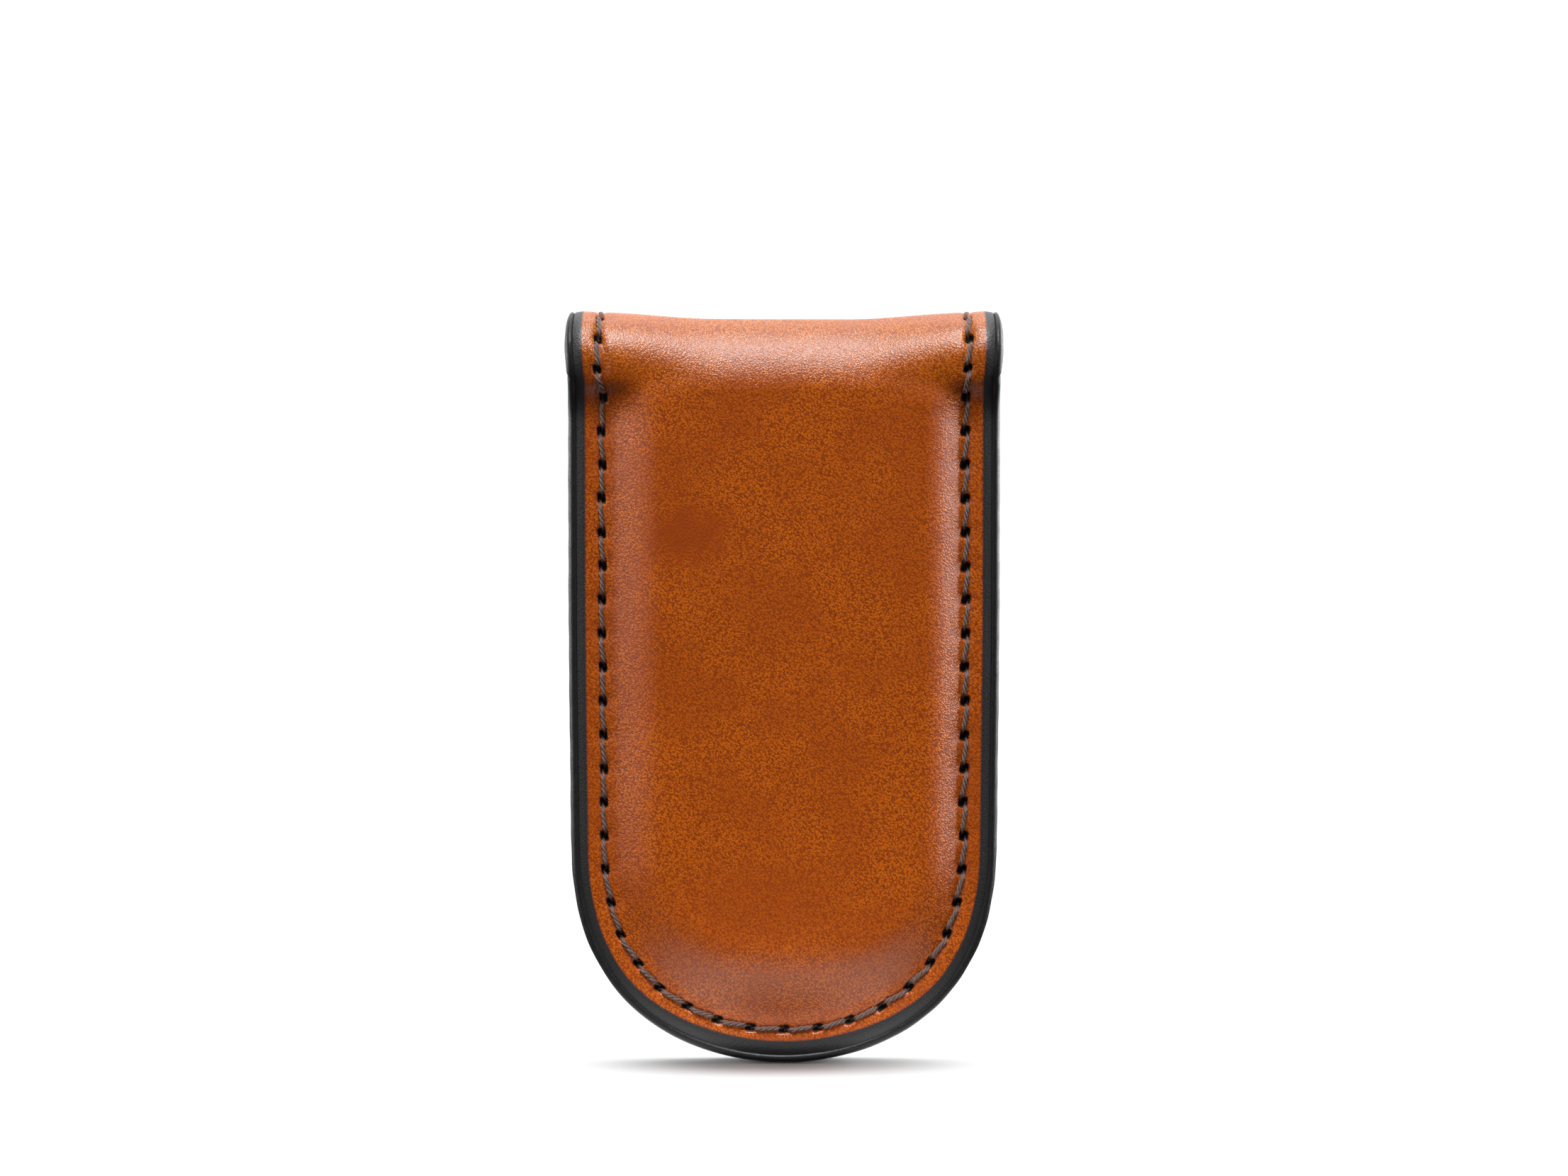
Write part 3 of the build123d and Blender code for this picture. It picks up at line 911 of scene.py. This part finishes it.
class Nodes(Graph):
    """One material's nodes, round its Principled shader."""

    def __init__(self, name, roughness, specular, **sockets):
        self.material = bpy.data.materials.new(name)
        self.material.use_nodes = True
        super().__init__(self.material.node_tree)
        self.shader = self.tree.nodes["Principled BSDF"]
        self.shader.inputs["Roughness"].default_value = roughness
        self.shader.inputs["Specular IOR Level"].default_value = specular
        for key, value in sockets.items():
            self.shader.inputs[key.replace("_", " ")].default_value = value

    def bump(self, height, distance_mm):
        normal = self.new("Bump", {"Height": height, "Distance": distance_mm * MM})["Normal"]
        self.put(normal, self.shader.inputs["Normal"])

    def colour(self, value):
        self.put(value, self.shader.inputs["Base Color"])

    def roughness(self, value):
        self.put(value, self.shader.inputs["Roughness"])


def times(colour, factors):
    return tuple(c * k for c, k in zip(colour, factors))


# grain colours: pits darker, partly own tone and partly painted shade; tops lighter, partly painted light
PIT_TONE_AND_SHADE = (0.72, 0.5, 0.34)
TOP_TONE_AND_LIGHT = (1.3, 1.36, 1.25)
# painted shade that darkens the pores
PORE_SHADE = (0.35, 0.35, 0.35)
PAINT_FLECKS = (2.2, 2.2, 2.2)
SOAKED_EDGE = (0.030, 0.012, 0.028)
# near-black painted shade inside the stitch slits
SLIT_SHADE = (0.002, 0.0015, 0.001)
GRAIN_HEIGHT = 0.027


def leather_material(name, base, stain, paint, roughness, grain=1.0, blotches=(), pulled=(1, 1, 1)):
    """Full-grain leather with fine pebbles and pores, and a painted border towards its edge.

    pulled multiplies its colour round the fold, for paler stretched leather and a painted highlight.
    """
    m = Nodes(name, roughness, 0.58)
    flat = m.attribute("flat")
    warp = m.vector("SCALE", m.noise(flat, 1.1, 3.0, 0.6, "Color"), 0.3)
    warped = m.vector("ADD", flat, warp)
    turned = m.rotated(warped, 45)
    streaked = m.vector("MULTIPLY", turned, (0.85, 1.18, 1.0))
    pebble = m.ramp(m.cells(streaked, 4.7), 0.68, 0.12)
    crumbs = m.ramp(m.cells(m.vector("ADD", streaked, (5.3, 1.7, 0.0)), 8.0), 0.7, 0.12)
    fine = m.noise(streaked, 11.0, 2.0, 0.6)
    drift = m.noise(flat, 0.7, 3.0, 0.6)
    patches = m.noise(flat, 0.13, 3.0, 0.5)
    relief = m.total((pebble, 0.5), (crumbs, 0.27), (fine, 0.23))

    # darker pits and lighter grain tops: partly the leather's own tone, partly painted shade and painted
    # light
    pit = m.ramp(m.total((relief, 0.9), (drift, 0.1)), 0.14, 0.64)
    dark = times(base, PIT_TONE_AND_SHADE)
    light = times(base, TOP_TONE_AND_LIGHT)
    body = m.mix(pit, dark, light)
    # pores darkened with painted shade
    pore_shade = m.ramp(relief, 0.14, 0.24, 0.6, 0.0)
    body = m.mix(pore_shade, body, times(base, PORE_SHADE))
    shaded = m.ramp(patches, 0.38, 0.60, 0.36, 0.0)
    for x, along, width, height, depth in blotches:
        place = m.vector("SUBTRACT", flat, (x, along, 0.0))
        away = m.length(m.vector("MULTIPLY", place, (1 / width, 1 / height, 0.0)))
        away = m.math("ADD", away, m.math("MULTIPLY", m.math("SUBTRACT", drift, 0.5), 0.9))
        shaded = m.math("MAXIMUM", shaded, m.ramp(away, 0.2, 1.0, depth, 0.0))
    body = m.mix(shaded, body, m.mix(pit, dark, stain))
    # round the fold the colour turns paler and yellower: partly stretched leather, partly a painted
    # highlight tint
    from_crest = m.vector("MULTIPLY", m.vector("SUBTRACT", flat, (0.0, CREST, 0.0)), (0.0, 1.0, 0.0))
    stretch_and_highlight_mask = m.ramp(m.length(from_crest), 2.0, 13.0, 1.0, 0.0)
    body = m.mix(stretch_and_highlight_mask, body, pulled, "MULTIPLY")

    edge = m.attribute("edge", "Fac")
    ragged = m.math("ADD", edge, m.math("MULTIPLY", m.math("SUBTRACT", fine, 0.5), 0.24))
    painted = m.ramp(ragged, 0.44, 0.54)
    body = m.mix(m.ramp(ragged, 0.15, 0.5, 0.0, 0.7), body, SOAKED_EDGE)
    body = m.mix(painted, body, m.mix(fine, paint, times(paint, PAINT_FLECKS)))
    # the stitch slits are painted near-black: painted shade inside the holes
    hole = m.ramp(m.attribute("slit", "Fac"), 0.08, 0.4)
    m.colour(m.mix(hole, body, SLIT_SHADE))
    gloss = m.ramp(relief, 0.3, 0.65, roughness + 0.05, roughness - 0.03)
    gloss = m.math("ADD", gloss, m.math("MULTIPLY", painted, 0.14))
    m.roughness(m.math("ADD", gloss, m.math("MULTIPLY", hole, 0.4)))
    m.bump(relief, GRAIN_HEIGHT * grain)
    return m.material


def paint_material():
    """Matt black paint with faint cracks along the edge."""
    m = Nodes("edge_paint", 0.4, 0.3)
    flat = m.attribute("flat")
    stretched = m.vector("MULTIPLY", flat, (1.0, 0.18, 1.0))
    wander = m.vector("SCALE", m.noise(flat, 1.5, 2.0, 0.5, "Color"), 0.4)
    cracks = m.cells(m.vector("ADD", stretched, wander), 1.3, "DISTANCE_TO_EDGE")
    crack = m.ramp(cracks, 0.0, 0.02)
    cloud = m.noise(flat, 1.2, 4.0, 0.6)
    fine = m.noise(flat, 9.0, 2.0, 0.6)
    shade = m.mix(cloud, (0.008, 0.008, 0.009), (0.016, 0.016, 0.017))
    m.colour(m.mix(crack, (0.006, 0.006, 0.006), shade))
    m.roughness(m.ramp(cloud, 0.3, 0.7, 0.34, 0.46))
    m.bump(m.total((crack, 0.3), (fine, 0.3), (cloud, 1.0)), 0.02)
    return m.material


def thread_material():
    """Waxed thread, with fibres along each ply."""
    m = Nodes("waxed_thread", 0.5, 0.4)
    flat = m.attribute("flat")
    fibre = m.noise(m.vector("MULTIPLY", flat, (1.2, 6.0, 5.0)), 3.0, 3.0, 0.6)
    cloud = m.noise(flat, 1.1, 2.0)
    shade = m.mix(m.ramp(fibre, 0.35, 0.65), (0.04, 0.022, 0.018), (0.32, 0.215, 0.195))
    m.colour(m.mix(m.math("MULTIPLY", cloud, 0.5), shade, (0.12, 0.072, 0.062)))
    m.roughness(m.ramp(fibre, 0.3, 0.7, 0.6, 0.42))
    m.bump(fibre, 0.03)
    return m.material


def object_coordinates(m):
    """Millimetre coordinates on a piece that never bends."""
    return m.vector("SCALE", m.new("TexCoord", {})["Object"], 1 / MM)


def magnet_material():
    """Brushed nickel plate."""
    m = Nodes("nickel_plate", 0.22, 0.5, Metallic=1.0)
    place = object_coordinates(m)
    brushed = m.noise(m.vector("MULTIPLY", place, (0.3, 4.0, 4.0)), 2.0, 4.0, 0.6)
    m.colour(m.mix(brushed, (0.60, 0.59, 0.56), (0.78, 0.77, 0.74)))
    m.roughness(m.ramp(brushed, 0.3, 0.7, 0.18, 0.34))
    m.bump(brushed, 0.004)
    return m.material


def board_material():
    """Pressed leather fibre with flecks."""
    m = Nodes("leather_board", 0.8, 0.3)
    place = object_coordinates(m)
    fibre = m.noise(m.vector("MULTIPLY", place, (1.0, 1.0, 2.5)), 1.6, 6.0, 0.7)
    fleck = m.cells(place, 1.1)
    shade = m.mix(fibre, (0.20, 0.13, 0.075), (0.42, 0.31, 0.20))
    m.colour(m.mix(m.ramp(fleck, 0.0, 0.25), (0.12, 0.075, 0.045), shade))
    m.roughness(m.ramp(fibre, 0.3, 0.7, 0.72, 0.9))
    m.bump(fibre, 0.06)
    return m.material


def felt_material():
    """Grey pressed felt."""
    m = Nodes("pressed_felt", 0.9, 0.2, Sheen_Weight=0.3)
    flat = m.attribute("flat")
    fibre = m.noise(flat, 3.5, 6.0, 0.75)
    tuft = m.noise(flat, 0.6, 3.0, 0.6)
    m.colour(m.mix(m.total((fibre, 0.7), (tuft, 0.3)), (0.22, 0.21, 0.20), (0.55, 0.53, 0.50)))
    m.bump(fibre, 0.12)
    m.roughness(m.ramp(fibre, 0.3, 0.7, 0.85, 0.98))
    return m.material


def tape_material():
    """Plain-woven cotton tape."""
    m = Nodes("woven_tape", 0.8, 0.3)
    flat = m.attribute("flat")
    warp = m.wave(flat, 1.2, 0.4)
    weft = m.wave(m.rotated(flat, 90), 1.2, 0.4)
    weave = m.math("MULTIPLY", warp, weft)
    m.colour(m.mix(weave, (0.40, 0.38, 0.33), (0.78, 0.75, 0.68)))
    m.roughness(m.ramp(weave, 0.1, 0.9, 0.9, 0.7))
    m.bump(weave, 0.05)
    return m.material


tan_leather = leather_material(
    "tan_leather",
    base=(0.455, 0.093, 0.001),
    stain=(0.27, 0.037, 0.0006),
    paint=(0.010, 0.0095, 0.010),
    roughness=0.285,
    blotches=((-9.0, 49.5, 6.5, 4.5, 0.8), (-2.0, 15.5, 13.0, 7.0, 0.5), (-11.0, 36.0, 4.0, 6.0, 0.4)),
    # paler, yellower round the fold: stretched leather, and a painted tint for the highlight there
    pulled=(0.87, 1.06, 1.0),
)
lining_leather = leather_material(
    "lining_leather",
    base=(0.20, 0.075, 0.028),
    stain=(0.13, 0.045, 0.016),
    paint=(0.016, 0.015, 0.016),
    roughness=0.55,
    grain=0.7,
)
edge_paint = paint_material()
waxed_thread = thread_material()


# ---- the soft pieces, one leg at a time
def paint_share(x, along):
    """Above one half where the face is painted, falling off across PAINT_FADE."""
    folded = np.minimum(along, 2 * CREST - along)
    width = PAINT_INSET + PAINT_EXTRA_AT_END * (1 - smooth(*PAINT_EXTRA_SPAN, folded))
    return np.clip(0.5 + (width - inset(x, folded)) / PAINT_FADE, 0, 1)


JITTER_SEEDS = {"front": 4, "back": 11}
NEEDLE_LIFT = 0.02
BOBBIN_LIFT = -0.14


def soft_leg(side):
    """Every soft piece of one leg and its half of the fold."""
    mirrored = side == "back"
    holes = seam_places(JITTER_SEEDS[side])

    def dress(piece, material, kind):
        """Gives a piece its finish, hides the CAD nodes that it stands for and bakes its transform."""
        piece.data.materials.append(material)
        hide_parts(f"{side}_{kind}", *([] if mirrored else [f"fold_{kind}"]))
        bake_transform(piece)

    face = with_relief(outer_base, lambda x, s: outer_relief(x, s, holes))
    outer = shell(
        f"{side}_outer_leather_skin",
        (face, 1, OUTER_RINGS),
        (under_bulge, -1, HIDDEN_RINGS),
        {"edge": paint_share, "slit": lambda x, s: slits(x, s, holes)},
        mirrored,
    )
    dress(outer, tan_leather, "outer_leather")

    def grip_base(x, s):
        return sagging(x, s, SHEET)

    def glue_base(x, s):
        return sagging(x, s, LEATHER + GLUE / 2)

    grip = with_relief(grip_base, lambda x, s: lining_relief(x, s, holes), -1)
    lining = shell(
        f"{side}_lining_skin",
        (grip, -1, OUTER_RINGS),
        (glue_base, 1, HIDDEN_RINGS),
        {"edge": paint_share, "slit": lambda x, s: slits(x, s, holes)},
        mirrored,
    )
    dress(lining, lining_leather, "lining")
    dress(bead(f"{side}_edge_bead", mirrored), edge_paint, "edge_coat")
    needle = stitches(f"{side}_needle_stitches", outer_base, 1, holes, mirrored, NEEDLE_LIFT)
    dress(needle, waxed_thread, "needle_thread")
    bobbin = stitches(f"{side}_bobbin_stitches", grip_base, -1, holes, mirrored, BOBBIN_LIFT)
    dress(bobbin, waxed_thread, "bobbin_thread")


felt = felt_material()
nickel = magnet_material()
leather_board = board_material()
for side in ("front", "back"):
    soft_leg(side)
    pad = felt_pad(f"{side}_felt_pad", side == "back")
    pad.data.materials.append(felt)
    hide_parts(f"{side}_padding")
    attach(pad, f"{side}_leg")
    inside = {"magnet_board": leather_board, "lower_magnet": nickel, "upper_magnet": nickel}
    for node, material in inside.items():
        for slot in frame["nodes"][f"{side}_{node}"].material_slots:
            slot.material = material

tape = crest_tape("crest_tape")
tape.data.materials.append(tape_material())
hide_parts("fold_tape")
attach(tape, "fold")


# ---- stage, light and camera
WHITE = (1.0, 1.0, 1.0)
FLOOR_RADIUS = 400 * MM
FLOOR_SIDES = 96
FLOOR_ALBEDO = (0.8, 0.8, 0.8)
FLOOR_WHITE = 1.1
SHADOW_WIDTH = 25 * MM
SHADOW_DEPTH = 14 * MM
SHADOW_CORE = 0.34
FLOOR_GLOW = 1.45
FLOOR_DARK = 0.05
FLOOR_SHADE_REACH = 5 * MM
FLOOR_GLOW_REACH = 10 * MM
FLOOR_DARK_REACH = 34 * MM
BACKDROP = 1.6
BACKDROP_SPAN = (-0.25, 0.5)
ROOM = 0.03
LEFT_WALL = 1.25
RIGHT_WALL = 0.88
WALL_START = 0.2
WALL_FULL = 0.9
WALL_TOP_SPAN = (0.2, 0.6)
SEEN_WHITE = 1.1

scene = bpy.context.scene


def floor():
    """A pale floor. What the clip mirrors of it glows close by and fades into a dark room."""
    turns = [2 * math.pi * i / FLOOR_SIDES for i in range(FLOOR_SIDES)]
    rim = [(FLOOR_RADIUS * math.cos(t), FLOOR_RADIUS * math.sin(t), 0) for t in turns]
    mesh = bpy.data.meshes.new("floor")
    mesh.from_pydata(rim, [], [range(FLOOR_SIDES)])
    disc = bpy.data.objects.new("floor", mesh)
    scene.collection.objects.link(disc)
    m = Nodes("pale_floor", 0.9, 0.2)
    m.colour(FLOOR_ALBEDO)
    place = m.new("TexCoord", {})["Object"]
    away = m.length(place)
    around = m.length(m.vector("MULTIPLY", place, (1 / SHADOW_WIDTH, 1 / SHADOW_DEPTH, 0.0)))
    white = m.new("Emission", {"Strength": FLOOR_WHITE})[0]
    in_shadow = m.shader.outputs[0]
    seen = m.new("MixShader", {0: m.ramp(around, SHADOW_CORE, 1.0), 1: in_shadow, 2: white})[0]
    outward = m.ramp(away, FLOOR_GLOW_REACH, FLOOR_DARK_REACH, FLOOR_GLOW, FLOOR_DARK)
    shade = m.ramp(away, FLOOR_SHADE_REACH, FLOOR_GLOW_REACH, FLOOR_DARK, 1.0)
    glow = m.new("Emission", {"Strength": m.math("MULTIPLY", outward, shade)})[0]
    m.seen_and_unseen(seen, glow, "Material Output")
    mesh.materials.append(m.material)
    return disc


def sun(name, azimuth, elevation, strength, spread):
    """A soft light from far away. Azimuth 0 is in front of the clip and 90 is on its right."""
    light = bpy.data.lights.new(name, "SUN")
    light.energy = strength
    light.angle = math.radians(spread)
    lamp = bpy.data.objects.new(name, light)
    a, e = math.radians(azimuth), math.radians(elevation)
    towards = Vector((math.sin(a) * math.cos(e), -math.cos(a) * math.cos(e), math.sin(e)))
    lamp.rotation_mode = "QUATERNION"
    lamp.rotation_quaternion = towards.to_track_quat("Z", "Y")
    scene.collection.objects.link(lamp)
    return lamp


def keep_off(lamp, thing):
    """Stops a lamp from lighting one thing. It still lights everything else."""
    spared = bpy.data.collections.new(f"spared_by_{lamp.name}")
    spared.objects.link(thing)
    spared.collection_objects[0].light_linking.link_state = "EXCLUDE"
    lamp.light_linking.receiver_collection = spared


def world():
    """A white backdrop behind the clip, a dark room in front and a low pale wall on each side.

    The camera sees plain white.
    """
    made = bpy.data.worlds.new("studio")
    scene.world = made
    made.use_nodes = True
    m = Graph(made.node_tree)
    x, y, z = m.new("SeparateXYZ", {0: m.new("TexCoord", {})["Generated"]})
    low_down = m.ramp(m.math("ABSOLUTE", z), *WALL_TOP_SPAN, 1.0, 0.0)
    left = m.ramp(x, -WALL_FULL, -WALL_START, LEFT_WALL, 0.0)
    right = m.ramp(x, WALL_START, WALL_FULL, 0.0, RIGHT_WALL)
    strength = m.ramp(y, *BACKDROP_SPAN, ROOM, BACKDROP)
    for wall in (left, right):
        strength = m.math("MAXIMUM", strength, m.math("MULTIPLY", wall, low_down))
    light = m.tree.nodes["Background"]
    m.put(WHITE, light.inputs["Color"])
    m.put(strength, light.inputs["Strength"])
    seen = m.new("Background", {"Color": WHITE, "Strength": SEEN_WHITE})[0]
    m.seen_and_unseen(seen, light.outputs[0], "World Output")


ground = floor()
world()
key = sun("key", azimuth=0, elevation=61, strength=4.0, spread=30)
keep_off(key, ground)
sun("top", azimuth=180, elevation=74, strength=0.8, spread=40)
sun("left_side", azimuth=-102, elevation=4, strength=2.4, spread=40)
sun("right_side", azimuth=112, elevation=4, strength=5.6, spread=60)

LENS = 150
SENSOR_WIDTH = 36
FRAME_WIDTH = 145.75 * MM
AIM = Vector((0, 0, 44.22 * MM))
ELEVATION = math.radians(4)
NEAREST_SEEN = 0.01
FARTHEST_SEEN = 50
camera_data = bpy.data.cameras.new("camera")
camera_data.lens = LENS
camera_data.sensor_width = SENSOR_WIDTH
camera_data.clip_start = NEAREST_SEEN
camera_data.clip_end = FARTHEST_SEEN
camera = bpy.data.objects.new("camera", camera_data)
scene.collection.objects.link(camera)
scene.camera = camera
towards_camera = Vector((0, -math.cos(ELEVATION), math.sin(ELEVATION)))
camera.location = AIM + towards_camera * (FRAME_WIDTH * LENS / SENSOR_WIDTH)
camera.rotation_mode = "QUATERNION"
camera.rotation_quaternion = (-towards_camera).to_track_quat("-Z", "Y")

scene.view_settings.view_transform = "Standard"
